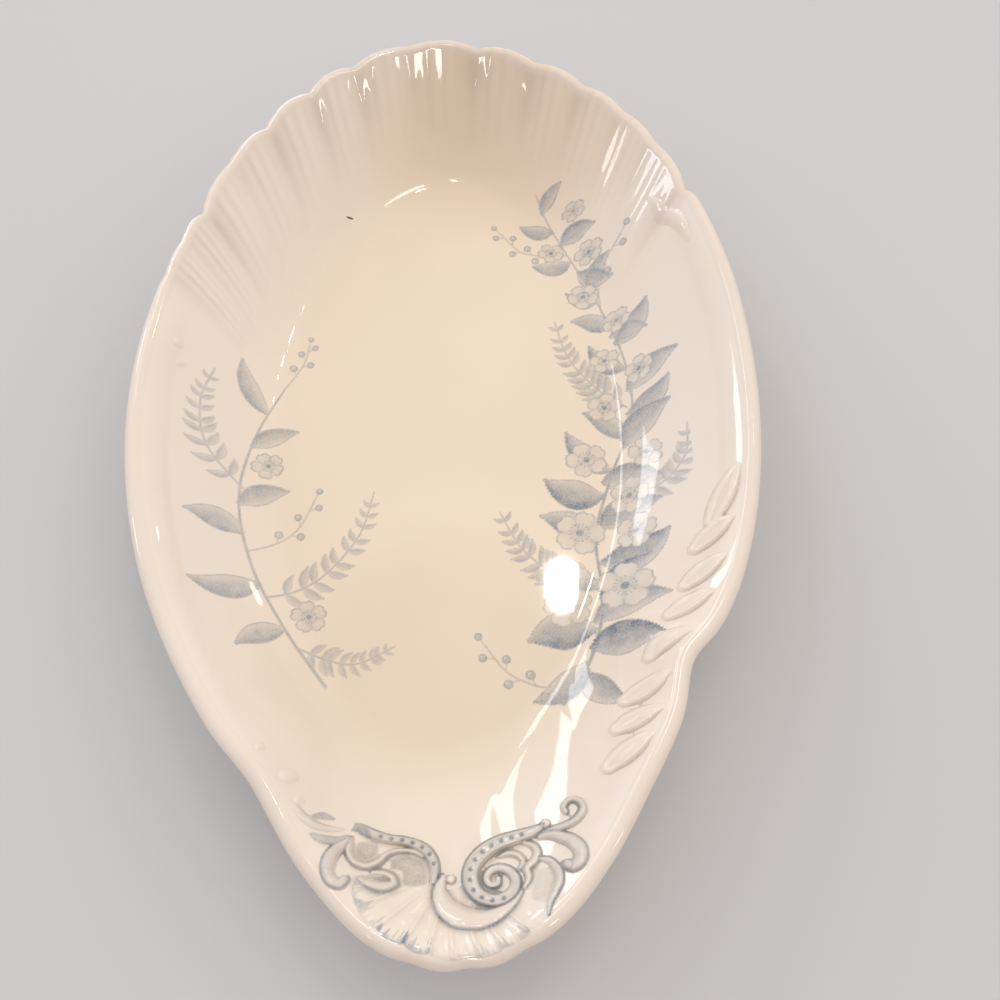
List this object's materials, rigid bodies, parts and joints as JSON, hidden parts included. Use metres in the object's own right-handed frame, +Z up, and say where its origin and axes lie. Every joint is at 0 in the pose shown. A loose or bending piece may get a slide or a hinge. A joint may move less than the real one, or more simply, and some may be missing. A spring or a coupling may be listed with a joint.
{
  "type": "oval relish dish",
  "caption": "Pear-shaped earthenware relish dish with a flat oval floor, flaring wall, fluted far end, rolled lip and a scrolled, shell-moulded handle end.",
  "frame": {"origin": "on the table plane, under the middle of the dish's length and width", "axes": "+Z up out of the dish, +Y towards the fluted end, -Y towards the scrolled handle end, +X to the right seen from the handle"},
  "size_m": [0.1344, 0.2161, 0.0274],
  "materials": {
    "glazed_body": "clear glossy glaze over cream-white earthenware",
    "glazed_relief": "clear glossy glaze over moulded relief",
    "tinted_relief": "clear glossy glaze over moulded relief, washed with grey-blue colour"
  },
  "bodies": {
    "root": {"dish_body": "glazed_body", "foot_ring": "glazed_body", "volute_scroll": "tinted_relief", "outer_crescent": "glazed_relief", "left_scroll": "tinted_relief", "left_leaf_curl": "tinted_relief", "right_leaf_curl": "tinted_relief", "tendril_scroll": "tinted_relief", "shell_fan": "glazed_relief", "side_feathers": "glazed_relief", "rim_break_scroll": "glazed_relief", "bead_trail": "glazed_relief"}
  },
  "joints": []
}
